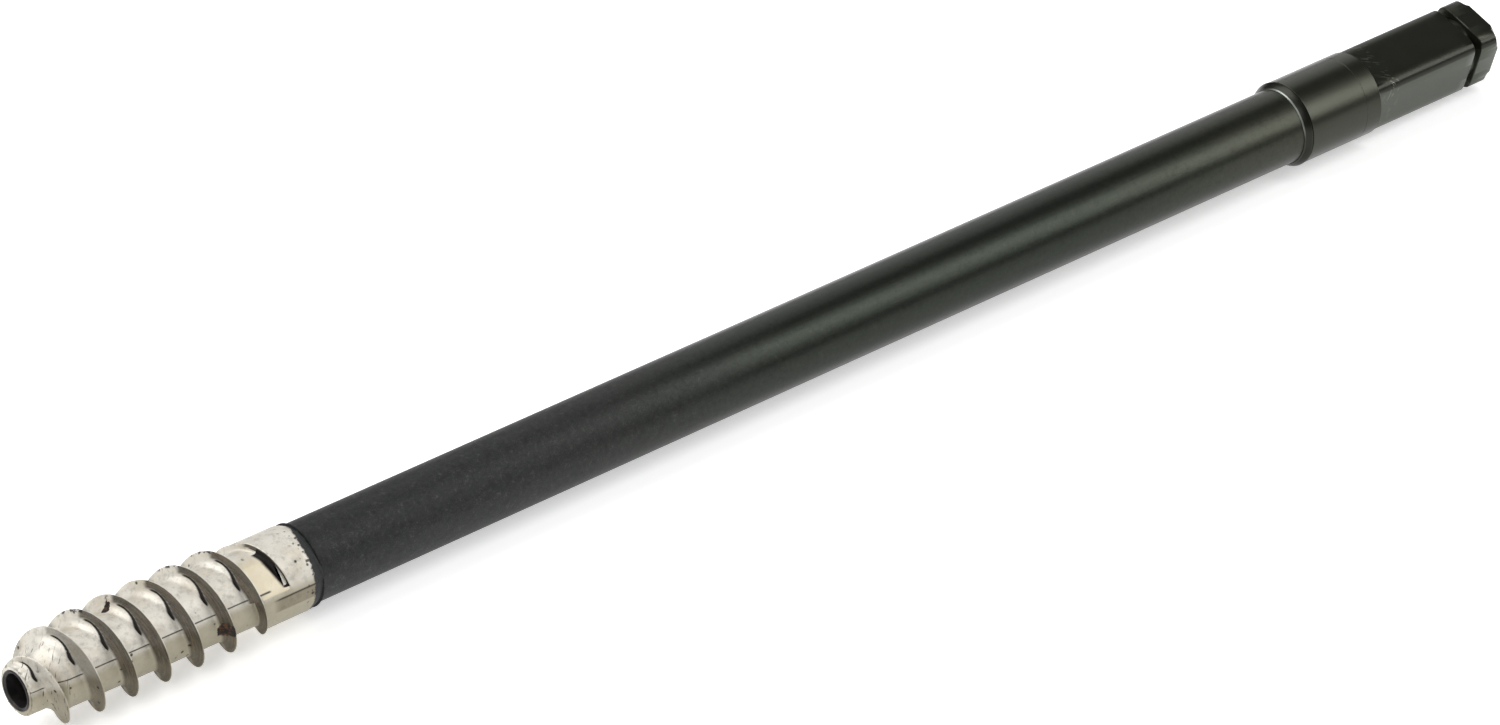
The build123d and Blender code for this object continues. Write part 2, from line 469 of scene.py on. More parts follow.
@dataclass(frozen=True)
class BlackShaftFinish:
    """Black oxide on a drawn tube: grainy and dull near the tip, satin further back."""

    dull: Colour = (0.015, 0.016, 0.016)
    satin: Colour = (0.023, 0.027, 0.021)
    olive: Colour = (0.036, 0.038, 0.028)
    scuff: Colour = (0.12, 0.118, 0.108)
    pit: Colour = (0.010, 0.010, 0.010)
    satin_span: Pair = (110.0, 215.0)
    satin_drift: float = 30.0
    olive_span: Pair = (250.0, 325.0)
    relief: float = 0.035

    def build(self) -> bpy.types.Material:
        """Makes the material.

        Returns:
            The finished material.
        """
        g = Graph("black_shaft_finish")
        place = g.position()
        along = g.axis_part(place, "X")
        satin = (along + self.satin_drift * g.noise(place, 0.05, 2.0)).above(*self.satin_span)
        grain = g.noise(place, 4.5, 5.0, 0.7)
        clouds = g.noise(g.stretched(place, (0.25, 1.0, 1.0)), 0.35, 4.0)
        drawn = g.noise(g.stretched(place, (0.03, 1.0, 1.0)), 2.6, 4.0)
        colour = g.mixed(satin, self.dull, self.satin)
        colour = g.mixed(along.above(*self.olive_span), colour, self.olive)
        specks = g.noise(place, 0.85, 5.0, 0.75)
        colour = g.mixed(grain.above(0.50, 0.78) * (0.50 - 0.35 * satin), colour, self.scuff)
        colour = g.mixed(specks.above(0.54, 0.74) * (0.32 - 0.25 * satin), colour, self.scuff)
        colour = g.mixed(specks.above(0.50, 0.36) * (0.85 - 0.6 * satin), colour, self.pit)
        lengthwise = g.stretched(place, (0.12, 1.6, 1.6))
        scratches = g.noise(lengthwise, 1.1, 5.0, 0.7).above(0.66, 0.74)
        colour = g.mixed(scratches * (0.30 - 0.18 * satin), colour, self.scuff)
        roughness = 0.46 - 0.22 * satin + 0.08 * grain + 0.05 * clouds + 0.04 * drawn
        height = grain * (0.75 - 0.45 * satin) + drawn * 0.35
        return g.finish(
            Base_Color=colour,
            Roughness=roughness,
            Metallic=0.20 + 0.60 * satin,
            Specular_IOR_Level=0.32,
            Normal=g.bump(height, self.relief),
        )


@dataclass(frozen=True)
class BlackDriveFinish:
    """Black oxide on turned and milled steel with worn specks, painted shade on the corners and
    ring, one flat painted lighter and a painted glint.
    """

    base: Colour = (0.036, 0.038, 0.028)
    worn: Colour = (0.17, 0.165, 0.145)
    # The next three colours are painted shade, a flat painted lighter as if lit, and a painted
    # glint.
    dark: Colour = (0.012, 0.012, 0.010)
    painted_lit_flat: Colour = (0.068, 0.076, 0.058)
    bright: Colour = (0.30, 0.32, 0.29)
    stroke_band: Pair = (343.5, 3.5)
    stroke_turn: float = 0.6
    relief: float = 0.016

    def build(self) -> bpy.types.Material:
        """Makes the material.

        Returns:
            The finished material.
        """
        g = Graph("black_drive_finish")
        place = g.position()
        grain = g.noise(place, 3.6, 4.0, 0.65)
        # Painted light: one flat of the square is painted lighter, as if lit.
        base = g.mixed(g.attribute("painted_lit_flat") * 0.8, self.base, self.painted_lit_flat)
        # Painted glint on the front of the mouth ring.
        base = g.mixed(g.attribute("bright"), base, self.bright)
        turned_marks = g.noise(g.stretched(place, (6.0, 0.25, 0.25)), 1.0, 3.0)
        clouds = g.noise(place, 0.22, 3.0)
        colour = g.mixed(grain.above(0.58, 0.82) * 0.25, base, self.worn)
        # Painted shade: the square's corners and the ring's outside behind its glint are darkened.
        colour = g.mixed(g.attribute("painted_shade") * 0.65, colour, self.dark)
        across_flat = g.stretched(g.slanted(place, self.stroke_turn), (0.45, 3.2, 0.45))
        strokes = g.noise(across_flat, 1.0, 2.0).above(0.60, 0.66)
        here = g.axis_part(place, "X").near(*self.stroke_band)
        colour = g.mixed(strokes * here * 0.8, colour, self.worn)
        roughness = 0.22 + 0.08 * grain + 0.09 * clouds
        height = grain * 0.45 + turned_marks * 0.55
        return g.finish(
            Base_Color=colour,
            Roughness=roughness,
            Metallic=0.8,
            Normal=g.bump(height, self.relief),
        )


@dataclass(frozen=True)
class MetalFinish:
    """Plain metal with fine turning marks."""

    name: str
    colour: Colour
    tarnish: Colour
    roughness: float
    metallic: float

    def build(self) -> bpy.types.Material:
        """Makes the material.

        Returns:
            The finished material.
        """
        g = Graph(self.name)
        place = g.position()
        marks = g.noise(g.stretched(place, (5.0, 0.4, 0.4)), 1.2, 3.0)
        cloud = g.noise(place, 0.7, 4.0)
        colour = g.mixed(cloud.above(0.40, 0.75), self.colour, self.tarnish)
        return g.finish(
            Base_Color=colour,
            Roughness=self.roughness + 0.12 * marks,
            Metallic=self.metallic,
            Normal=g.bump(marks, 0.012),
        )


@dataclass(frozen=True)
class FloorFinish:
    """Matt white sweep under the screw."""

    colour: Colour = (0.93, 0.93, 0.93)
    shade: Colour = (0.91605, 0.91605, 0.91605)
    glow: float = 0.5

    def build(self) -> bpy.types.Material:
        """Makes the material.

        Returns:
            The finished material.
        """
        g = Graph("floor_finish")
        cloud = g.noise(g.position(), 0.004, 2.0)
        return g.finish(
            Base_Color=g.mixed(cloud, self.colour, self.shade),
            Roughness=0.9,
            Emission_Color=self.colour,
            Emission_Strength=self.glow,
        )


# Mesh helpers


def on_circle(x: float, radius: float, angle: float) -> Point:
    """Point at a station, a radius and an angle in degrees about the axis."""
    turn = math.radians(angle)
    return (x, radius * math.cos(turn), radius * math.sin(turn))


def step(value: float, low: float, high: float) -> float:
    """Smooth step from 0 at low to 1 at high."""
    share = min(1.0, max(0.0, (value - low) / (high - low)))
    return share * share * (3.0 - 2.0 * share)


def arc(centre: Pair, radius: float, start: float, end: float, count: int) -> list[Pair]:
    """Points along an arc in the (x, radius) half plane, angles in degrees."""
    points = []
    for index in range(count + 1):
        turn = math.radians(start + (end - start) * index / count)
        along, out = radius * math.cos(turn), radius * math.sin(turn)
        points.append((centre[0] + along, centre[1] + out))
    return points


def make_object(
    name: str,
    points: Sequence[Point],
    faces: Sequence[Face],
    marks: dict[str, Sequence[float]] | None = None,
    crease: float = 38.0,
) -> bpy.types.Object:
    """Makes a clean mesh object from points in millimetres.

    Args:
        name: The object's name.
        points: Points in millimetres.
        faces: Faces as point numbers.
        marks: Numbers to store on the points, by name.
        crease: Edges that turn by more than this many degrees stay sharp.

    Returns:
        The object, linked to the scene.
    """
    mesh = bpy.data.meshes.new(name)
    mesh.from_pydata([tuple(part * MM for part in point) for point in points], [], faces)
    for key, values in (marks or {}).items():
        mesh.attributes.new(key, "FLOAT", "POINT").data.foreach_set("value", list(values))
    work = bmesh.new()
    work.from_mesh(mesh)
    bmesh.ops.remove_doubles(work, verts=work.verts, dist=MERGE_MM * MM)
    bmesh.ops.dissolve_degenerate(work, edges=work.edges, dist=SLIVER_MM * MM)
    loose = [vert for vert in work.verts if not vert.link_faces]
    bmesh.ops.delete(work, geom=loose, context="VERTS")
    bmesh.ops.recalc_face_normals(work, faces=work.faces)
    for face in work.faces:
        face.smooth = True
    for edge in work.edges:
        edge.smooth = edge.calc_face_angle(0.0) < math.radians(crease)
    work.to_mesh(mesh)
    work.free()
    thing = bpy.data.objects.new(name, mesh)
    bpy.context.scene.collection.objects.link(thing)
    return thing


def ring_faces(first: int, second: int, count: int) -> list[Face]:
    """Quads between two rings of points that start at these numbers."""
    faces = []
    for index in range(count):
        after = (index + 1) % count
        faces.append((first + index, first + after, second + after, second + index))
    return faces


@dataclass
class RingStack:
    """Rings of points joined one to the next, and the last to the first."""

    count: int
    points: list[Point] = field(default_factory=list)
    rings: list[int] = field(default_factory=list)

    def add(self, x: float, radius_at: Callable[[float], float]) -> None:
        """Adds a ring at a station.

        Args:
            x: The station.
            radius_at: The radius for an angle in degrees.
        """
        self.rings.append(len(self.points))
        for index in range(self.count):
            angle = 360.0 * index / self.count
            self.points.append(on_circle(x, radius_at(angle), angle))

    def closed_faces(self) -> list[Face]:
        """Faces of the closed shape."""
        faces = []
        for index, first in enumerate(self.rings):
            second = self.rings[(index + 1) % len(self.rings)]
            faces += ring_faces(first, second, self.count)
        return faces


def lathe(name: str, outline: Sequence[Pair], count: int = 192) -> bpy.types.Object:
    """Closed turned piece from a closed outline of (x, radius) points."""
    stack = RingStack(count)
    for x, radius in outline:
        stack.add(x, lambda angle, radius=radius: radius)
    return make_object(name, stack.points, stack.closed_faces())


# Sub-assemblies


@dataclass
class Piece:
    """One visible piece that stands for a node of the frame."""

    node: str
    slot: Slot

    def extent(self) -> Triple:
        """Front, rear and outer radius of the piece's node in the frame, in millimetres."""
        low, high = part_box(self.node)
        return low[0] / MM, high[0] / MM, high[2] / MM

    def settle(self, thing: bpy.types.Object, material: bpy.types.Material) -> bpy.types.Object:
        """Dresses a piece and ties it to the frame.

        Args:
            thing: The new piece.
            material: Its material.

        Returns:
            The piece.
        """
        thing.data.materials.append(material)
        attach(thing, "root")
        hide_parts(self.node)
        LOG.info("built %s with %d faces", thing.name, len(thing.data.polygons))
        return thing


@dataclass
class CastTip(Piece):
    """Cast tip with a two-start thread, a boss and two flats where the groove runs out."""

    node: str = "screw_casting"
    slot: Slot = Slot.CAST
    lead: float = 15.0
    pitch: float = 7.5
    crest_x: float = 7.2
    crest_angle: float = 231.0
    crest_lean: float = 0.55
    crest_radius: float = 9.8
    first_crest_radius: float = 9.15
    nose_radius: float = 5.1
    nose_corner: float = 0.6
    neck_end: float = 4.4
    root_start: float = 8.2
    root_front: float = 6.85
    root_rear: float = 7.2
    root_span: Pair = (8.0, 50.0)
    rise_end: float = 7.4
    rise_depth: float = 0.7
    growth_span: Pair = (7.0, 14.0)
    last_crest_radius: float = 9.15
    fall_span: Pair = (48.5, 52.2)
    runout_depth: float = 0.7
    runout_span: Pair = (52.3, 53.5)
    boss_radius: float = 8.55
    boss_taper: float = 62.7
    feather: float = 0.545
    boss_bore: float = 8.0
    boss_bore_front: float = 56.0
    plug_bore: float = 5.2
    plug_bore_front: float = 10.0
    liner_seat: float = 4.1
    pad_angle: float = 129.0
    pad_distance: float = 6.95
    pad_half_span: float = 37.0
    pad_step: float = 0.3
    pad_reach: float = 80.0
    last_grooves: tuple[int, int] = (7, 6)
    crest_half: float = 0.20
    base_half: float = 0.50
    front_fillet: float = 1.25
    rear_fillet: float = 0.55
    flank_curve: float = 1.25
    fillet_curve: int = 5
    lumps: tuple[Pair, ...] = ((0.035, 0.45), (0.015, 1.7))
    columns: int = 300
    flank_rows: int = 12
    floor_rows: int = 9
    stains: tuple[tuple[float, float, float, float], ...] = (
        (22.8, 69.0, 1.0, 1.1),
        (42.0, 187.0, 1.3, 2.2),
    )
    stain_radius: float = 9.0
    # Turn angles that bound the flanks' stain and painted shade.
    front_darkening_start: Pair = (72.0, 80.0)
    front_darkening_fade: Pair = (172.0, 205.0)
    front_darkening_end: Pair = (240.0, 262.0)
    back_darkening_start: Pair = (252.0, 272.0)
    back_darkening_end: Pair = (16.0, 36.0)
    darkening_reach_turn: Pair = (86.0, 138.0)
    # Where the painted shade crescents at the flank feet lie.
    crescent_angle: float = 112.0
    crescent_span: Pair = (0.80, 0.92)
    rim_start: Pair = (38.0, 50.0)
    rim_end: Pair = (80.0, 92.0)
    root_end: float = 53.0
    pad_fade: Pair = (16.0, 34.0)
    speckled_crests: tuple[int, ...] = (2, 5, 6)
    first_crest: int = -2
    last_crest: int = 11

    def __post_init__(self) -> None:
        """Reads the casting's ends from the frame and places the grid's seam."""
        self.front_x, self.rear_x, _ = self.extent()
        self.seam_angle = self.pad_angle + self.pad_half_span - 180.0

    def crest_station(self, crest: int, angle: float) -> float:
        """Station of a crest at an angle."""
        away = angle - self.crest_angle
        lean = self.crest_lean * (1.0 - math.cos(math.radians(away)))
        return self.crest_x + self.lead * away / 360.0 + self.pitch * crest + lean

    def root_radius(self, x: float) -> float:
        """Radius of the nose and the thread's root at a station."""
        nose = self.nose_radius
        depth = x - self.front_x
        if depth < self.nose_corner:
            short = self.nose_corner - max(depth, 0.0)
            nose -= self.nose_corner - math.sqrt(self.nose_corner**2 - short**2)
        root = self.root_front + (self.root_rear - self.root_front) * step(x, *self.root_span)
        return nose + (root - nose) * step(x, self.neck_end, self.root_start)

    def boss_radius_at(self, x: float) -> float:
        """Radius of the boss at a station, tapering to its feathered end."""
        return self.boss_radius - self.feather * step(x, self.boss_taper, self.rear_x)

    def envelope(self, x: float) -> float:
        """Radius that the crests reach at a station."""
        start = self.nose_radius - self.rise_depth
        share = math.sin(math.pi / 2 * min(1.0, max(0.0, x / self.rise_end)))
        rise = start + (self.first_crest_radius - start) * share
        growth = (self.crest_radius - self.first_crest_radius) * step(x, *self.growth_span)
        fall = (self.crest_radius - self.last_crest_radius) * step(x, *self.fall_span)
        return rise + growth - (fall + self.runout_depth * step(x, *self.runout_span))

    def last_groove(self, angle: float) -> tuple[int, float]:
        """Number of the last groove at an angle, and the angle of the flat that ends it."""
        if angle < self.seam_angle + 180.0:
            return self.last_grooves[0], self.pad_angle
        return self.last_grooves[1], self.pad_angle + 180.0

    def floor_radius(self, groove: int, x: float, angle: float) -> float:
        """Radius of the floor between two crests."""
        last, pad = self.last_groove(angle)
        boss = self.boss_radius_at(x)
        if groove > last:
            return boss
        root = self.root_radius(x)
        if groove < last:
            return root
        away = angle - pad
        flat = OUT_OF_REACH
        if abs(away) < self.pad_reach:
            flat = self.pad_distance / math.cos(math.radians(away))
        return min(flat, root if away < 0 else boss)

    def pitch_rows(self) -> list[tuple[float, float, int]]:
        """Rows of one pitch as (offset from the crest, height share, groove side)."""
        rows = []
        for index in range(self.flank_rows):
            share = index / self.flank_rows
            height = share**self.flank_curve
            rest = 1.0 - height
            half = self.crest_half + (self.base_half - self.crest_half) * rest
            rows.append((-(half + self.front_fillet * rest**self.fillet_curve), height, 0))
        rows += [(-0.6 * self.crest_half, 1.0, 0), (0.0, 1.01, 0), (0.6 * self.crest_half, 1.0, 1)]
        for index in range(self.flank_rows):
            height = (1.0 - (index + 1) / self.flank_rows) ** self.flank_curve
            rest = 1.0 - height
            half = self.crest_half + (self.base_half - self.crest_half) * rest
            rows.append((half + self.rear_fillet * rest**self.fillet_curve, height, 1))
        rear_foot = rows[-1][0]
        front_foot = self.pitch + rows[0][0]
        for index in range(1, self.floor_rows):
            share = index / self.floor_rows
            rows.append((rear_foot + (front_foot - rear_foot) * share, 0.0, 1))
        return rows

    def unevenness(self, x: float, angle: float) -> float:
        """Small lumps of a casting, in millimetres."""
        point = Vector(on_circle(x, self.boss_bore, angle))
        return sum(size * noise.noise(point * scale) for size, scale in self.lumps)

    def skin(self) -> tuple[list[Point], list[Face], dict[str, list[float]]]:
        """Outer skin as one grid that follows the thread.

        Returns:
            Points, faces and the marks stored on the points.
        """
        rows = self.pitch_rows()
        crests = range(self.first_crest, self.last_crest + 1)
        per_column = len(rows) * len(crests)
        points: list[Point] = []
        kinds = ("flank", "foot", "rim", "root", "pad", "rust")
        marks: dict[str, list[float]] = {kind: [] for kind in kinds}
        for column in range(self.columns):
            angle = self.seam_angle + 360.0 * column / self.columns
            for crest in crests:
                base = self.crest_station(crest, angle)
                for row in rows:
                    self._add_point(points, marks, base + row[0], angle, crest, row)
        faces: list[Face] = []
        shift = 2 * len(rows)
        for column in range(self.columns):
            last = column == self.columns - 1
            start, after = column * per_column, 0 if last else (column + 1) * per_column
            jump = shift if last else 0
            for low in range(per_column - 1 - jump):
                high = after + low + jump
                faces.append((start + low, start + low + 1, high + 1, high))
        return points, faces, marks

    def _add_point(
        self,
        points: list[Point],
        marks: dict[str, list[float]],
        x: float,
        angle: float,
        crest: int,
        row: tuple[float, float, int],
    ) -> None:
        """Adds one point of the skin and its marks.

        Args:
            points: The skin's points.
            marks: The skin's marks, by name.
            x: Station of the point before it is kept inside the casting.
            angle: Angle of its column.
            crest: Number of the crest it belongs to.
            row: Its row of the pitch.
        """
        offset, height, side = row
        last, _ = self.last_groove(angle)
        if crest == last and side == 0 and offset < 0.0:
            x -= offset * (1.0 - self.pad_step)
        x = min(self.rear_x, max(self.front_x, x))
        floor = self.floor_radius(crest + side, x, angle)
        top = max(floor, self.envelope(x))
        radius = floor + height * (top - floor)
        inside = self.front_x + 0.3 < x < self.rear_x
        radius += self.unevenness(x, angle) if inside else 0.0
        points.append(on_circle(x, radius, angle))
        self._add_marks(marks, x, angle, crest, row, top - floor)

    def _add_marks(
        self,
        marks: dict[str, list[float]],
        x: float,
        angle: float,
        crest: int,
        row: tuple[float, float, int],
        rise: float,
    ) -> None:
        """Adds one point's marks: how much of each kind of stain, speck and painted shade it takes.

        Args:
            marks: The skin's marks, by name.
            x: Station of the point.
            angle: Angle of its column.
            crest: Number of the crest it belongs to.
            row: Its row of the pitch.
            rise: How far the crest stands above the floor here.
        """
        offset, height, side = row
        # Flank mark: stain with painted shade, limited by turn angle and by height on the flank.
        tall = min(1.0, rise / 1.2)
        front = step(angle, *self.front_darkening_start)
        front *= 1.0 - 0.2 * step(angle, *self.front_darkening_fade)
        front *= 1.0 - step(angle, *self.front_darkening_end)
        back = step(angle, *self.back_darkening_start), 1.0 - step(angle, *self.back_darkening_end)
        darkened = front + 0.9 * back[0] + 0.9 * back[1]
        lowest = 0.45 * (1.0 - step(angle, *self.darkening_reach_turn))
        on_front = side == 0 and offset < -0.3 * self.crest_half
        flank = tall * darkened * step(height, lowest, lowest + 0.1) if on_front else 0.0
        marks["flank"].append(flank)
        # Foot mark: painted shade on the wall behind the flat and in crescents at the flank feet.
        last, pad_angle = self.last_groove(angle)
        from_pad = abs(angle - pad_angle)
        in_step = crest == last and side == 0 and height < 0.8
        in_step = in_step and from_pad < self.pad_half_span - 4.0
        turned = math.cos(math.radians(angle - self.crescent_angle))
        at_foot = max(0.0, 1.0 - abs(height - lowest) / 0.16) if on_front else 0.0
        crescent = tall * step(turned, *self.crescent_span) * at_foot
        marks["foot"].append(1.0 if in_step else crescent)
        on_rim = height > 0.85 and crest in self.speckled_crests
        rim = step(angle, *self.rim_start) * (1.0 - step(angle, *self.rim_end))
        marks["rim"].append(rim * on_rim)
        marks["root"].append(1.0 if height < 0.05 and x < self.root_end else 0.0)
        on_pad = crest + side == last and height < 0.05 and from_pad < self.pad_half_span
        marks["pad"].append(1.0 - step(pad_angle - angle, *self.pad_fade) if on_pad else 0.0)
        marks["rust"].append(max(self._stain(stain, x, angle) for stain in self.stains))

    def _stain(self, stain: tuple[float, float, float, float], x: float, angle: float) -> float:
        """How deep a point lies in a stain of (station, angle, half length, half width)."""
        middle, turn, half_length, half_width = stain
        around = self.stain_radius * math.radians((angle - turn + 180.0) % 360.0 - 180.0)
        return 1.0 - step(math.hypot((x - middle) / half_length, around / half_width), 0.3, 1.5)

    def build(self) -> bpy.types.Object:
        """Makes the tip.

        Returns:
            The dressed piece.
        """
        points, faces, marks = self.skin()
        inner = [
            (self.rear_x, self.boss_radius_at(self.rear_x)),
            (self.rear_x, self.boss_bore),
            (self.boss_bore_front, self.boss_bore),
            (self.boss_bore_front, self.plug_bore),
            (self.plug_bore_front, self.plug_bore),
            (self.plug_bore_front, self.liner_seat),
            (self.front_x, self.liner_seat),
            (self.front_x, self.root_radius(self.front_x)),
        ]
        starts = []
        for x, radius in inner:
            starts.append(len(points))
            for column in range(self.columns):
                angle = self.seam_angle + 360.0 * column / self.columns
                points.append(on_circle(x, radius, angle))
            for values in marks.values():
                values += [0.0] * self.columns
        for first, second in zip(starts, starts[1:]):
            faces += ring_faces(first, second, self.columns)
        thing = make_object("cast_tip", points, faces, marks)
        return self.settle(thing, CastAlloyFinish().build())


@dataclass
class CoreLiner(Piece):
    """Thin tube whose rounded rim lines the mouth of the nose."""

    node: str = "core_tube"
    slot: Slot = Slot.CORE
    bore: float = 3.35
    rim: float = 0.28
    lip: float = 0.04

    def build(self) -> bpy.types.Object:
        """Makes the liner.

        Returns:
            The dressed piece.
        """
        front, rear, outer = self.extent()
        outline = [(rear, self.bore), (front + 2 * self.rim, self.bore)]
        outline += arc((front + 2 * self.rim, self.bore + self.rim), self.rim, 270.0, 180.0, 5)
        outline += [(front + self.lip, outer - self.rim * 0.9)]
        outline += arc((front + self.rim, outer - self.rim), self.rim, 180.0, 90.0, 5)
        outline += [(rear, outer)]
        finish = MetalFinish(
            "core_black_finish",
            colour=(0.020, 0.018, 0.018),
            tarnish=(0.045, 0.038, 0.036),
            roughness=0.34,
            metallic=0.5,
        )
        return self.settle(lathe("core_liner", outline), finish.build())


@dataclass
class Shaft(Piece):
    """Long plain tube."""

    node: str = "shaft_tube"
    slot: Slot = Slot.SHAFT
    bore: float = 6.0
    stations: int = 90

    def build(self) -> bpy.types.Object:
        """Makes the shaft.

        Returns:
            The dressed piece.
        """
        front, rear, radius = self.extent()
        outline = [(rear, self.bore), (front, self.bore)]
        for index in range(self.stations + 1):
            outline.append((front + (rear - front) * index / self.stations, radius))
        return self.settle(lathe("shaft", outline), BlackShaftFinish().build())


@dataclass
class Sleeve(Piece):
    """Ferrule over the end of the shaft."""

    node: str = "drive_sleeve"
    slot: Slot = Slot.DRIVE
    bore: float = 8.0
    edge: float = 0.05

    def build(self) -> bpy.types.Object:
        """Makes the sleeve.

        Returns:
            The dressed piece.
        """
        front, rear, radius = self.extent()
        edge = self.edge
        outline = [(rear, self.bore), (front, self.bore)]
        outline += [(front, radius - edge), (front + edge, radius)]
        outline += [(front + 1.0, radius), (rear - edge, radius), (rear, radius - edge)]
        return self.settle(lathe("sleeve", outline), BlackDriveFinish().build())


@dataclass
class MouthRing(Piece):
    """Ring with a rounded front, round the shaft just ahead of the sleeve."""

    node: str = "mouth_ring"
    slot: Slot = Slot.DRIVE
    bore: float = 8.0
    front_step: float = 0.28
    crest_round: float = 0.35
    rear_radius: float = 8.9
    rear_round: float = 0.2
    inside_box: float = 0.02
    glint_angle: float = 118.0
    glint_fade: Pair = (25.0, 60.0)

    def build(self) -> bpy.types.Object:
        """Makes the ring.

        Returns:
            The dressed piece.
        """
        front, rear, outer = self.extent()
        outer -= self.inside_box
        crest = rear - self.rear_round
        outline = [(rear, self.bore), (front, self.bore)]
        outline += arc((front + self.front_step, self.bore), self.front_step, 165.0, 100.0, 5)
        outline += [(front + self.front_step, self.bore + self.front_step + 0.06)]
        outline += [(crest - self.crest_round * 1.4, outer - self.crest_round * 0.8)]
        outline += [(crest - self.crest_round * 0.7, outer - self.crest_round * 0.3)]
        outline += [(crest, outer), (rear, self.rear_radius)]
        thing = lathe("mouth_ring", outline)
        # Painted glint on the ring's front, near glint_angle.
        bright = thing.data.attributes.new("bright", "FLOAT", "POINT")
        painted_shade = thing.data.attributes.new("painted_shade", "FLOAT", "POINT")
        for point, lit, dark in zip(thing.data.vertices, bright.data, painted_shade.data):
            x = point.co.x / MM
            on_front = x < front + 0.9 * self.front_step
            away = abs(math.degrees(math.atan2(point.co.z, point.co.y)) - self.glint_angle)
            lit.value = 1.0 - step(away, *self.glint_fade) if on_front else 0.0
            # Painted shade over the ring's outside behind its front, up to the crest.
            dark.value = 0.0 if on_front or x > crest - 0.1 else 1.0
        return self.settle(thing, BlackDriveFinish().build())


@dataclass
class Shank(Piece):
    """Spigot, shoulder and grooved square drive."""

    node: str = "drive_shank"
    slot: Slot = Slot.DRIVE
    bore: float = 3.35
    spigot: float = 6.0
    step_radius: float = 8.0
    shoulder: float = 9.0
    corner: float = 8.8
    half_flats: float = 7.0
    flat_angle: float = 107.0
    spigot_end: float = 331.0
    sleeve_end: float = 335.5
    square_start: float = 339.6
    groove_x: float = 368.5
    groove_width: float = 1.9
    groove_radius: float = 6.4
    end_chamfer: float = 1.0
    edge: float = 0.18
    seam: float = 0.05
    run_in: float = 0.3
    groove_slope: float = 0.15
    end_edge: float = 0.12
    mouth: float = 0.5
    sharpness: float = 24.0
    body_rows: int = 12
    # Radii over which the square's corners take painted shade.
    corner_shade_band: Pair = (8.5, 8.8)
    lit_flat_half_span: float = 38.0
    columns: int = 360

    def square(self, angle: float) -> float:
        """Radius of the rounded square at an angle."""
        away = (angle - self.flat_angle + 45.0) % 90.0 - 45.0
        flat = self.half_flats / math.cos(math.radians(away))
        sharp = self.sharpness
        blend = (flat**-sharp + self.corner**-sharp) ** (-1.0 / sharp)
        return blend * (2.0 ** (0.25 / sharp))

    def build(self) -> bpy.types.Object:
        """Makes the shank.

        Returns:
            The dressed piece.
        """
        front, rear, _ = self.extent()
        stack = RingStack(self.columns)
        edge = self.edge
        for x, radius in [
            (rear - self.mouth, self.bore),
            (front, self.bore),
            (front, self.spigot),
            (self.spigot_end, self.spigot),
            (self.spigot_end, self.step_radius),
            (self.sleeve_end, self.step_radius),
            (self.sleeve_end, self.shoulder - self.seam),
            (self.sleeve_end + self.seam, self.shoulder),
            (self.square_start - edge, self.shoulder),
            (self.square_start, self.shoulder - edge),
        ]:
            stack.add(x, lambda angle, radius=radius: radius)
        groove_front = self.groove_x - self.groove_width / 2
        groove_rear = self.groove_x + self.groove_width / 2

        def eased(angle: float) -> float:
            """Square section with its edge broken."""
            return self.square(angle) - edge * 0.6

        def floor(angle: float) -> float:
            """Floor of the groove."""
            return min(self.groove_radius, self.square(angle))

        def end(angle: float) -> float:
            """Section at the end face."""
            return min(self.square(angle), self.corner - self.end_chamfer) - 0.1

        def foot(angle: float) -> float:
            """Foot of the square against the shoulder."""
            return min(self.square(angle) + 0.25, self.shoulder - edge)

        stack.add(self.square_start, foot)
        body_start = self.square_start + self.run_in
        stack.add(body_start, self.square)
        for index in range(1, self.body_rows):
            share = index / self.body_rows
            stack.add(body_start + (groove_front - edge - body_start) * share, self.square)
        for x, section in [
            (groove_front - edge, self.square),
            (groove_front, eased),
            (groove_front + self.groove_slope, floor),
            (groove_rear - self.groove_slope, floor),
            (groove_rear, eased),
            (groove_rear + edge, self.square),
            (rear - self.end_chamfer, self.square),
            (rear - self.end_edge, end),
            (rear, lambda angle: end(angle) - 0.15),
            (rear, lambda angle: self.bore + self.mouth),
        ]:
            stack.add(x, section)
        painted_shade, painted_lit_flat = [], []
        for x, y, z in stack.points:
            radius = math.hypot(y, z)
            on_square = x > self.square_start
            # Painted shade: the square's corners are darkened.
            painted_shade.append(step(radius, *self.corner_shade_band) if on_square else 0.0)
            # Painted light: the flat a quarter turn from flat_angle is marked to be painted
            # lighter, as if lit.
            turn = math.degrees(math.atan2(z, y)) - self.flat_angle
            away = (turn - 90.0 + 180.0) % 360.0 - 180.0
            painted_lit_flat.append(1.0 if on_square and abs(away) < self.lit_flat_half_span else 0.0)
        marks = {"painted_shade": painted_shade, "painted_lit_flat": painted_lit_flat}
        thing = make_object("shank", stack.points, stack.closed_faces(), marks, crease=30.0)
        return self.settle(thing, BlackDriveFinish().build())


@dataclass
class HiddenSteel:
    """Plugs and dowels that stay as the frame has them, inside the screw."""

    nodes: tuple[str, ...] = ("tip_mandrel", "locking_dowels")

    def build(self, frame: dict) -> None:
        """Dresses the hidden pieces.

        Args:
            frame: The loaded frame.
        """
        finish = MetalFinish(
            "machined_steel_finish",
            colour=(0.42, 0.42, 0.41),
            tarnish=(0.30, 0.29, 0.27),
            roughness=0.30,
            metallic=1.0,
        )
        material = finish.build()
        for name in self.nodes:
            thing = frame["nodes"][name]
            for index in range(len(thing.material_slots)):
                thing.material_slots[index].link = "OBJECT"
                thing.material_slots[index].material = material
            LOG.info("dressed %s", name)


# Studio


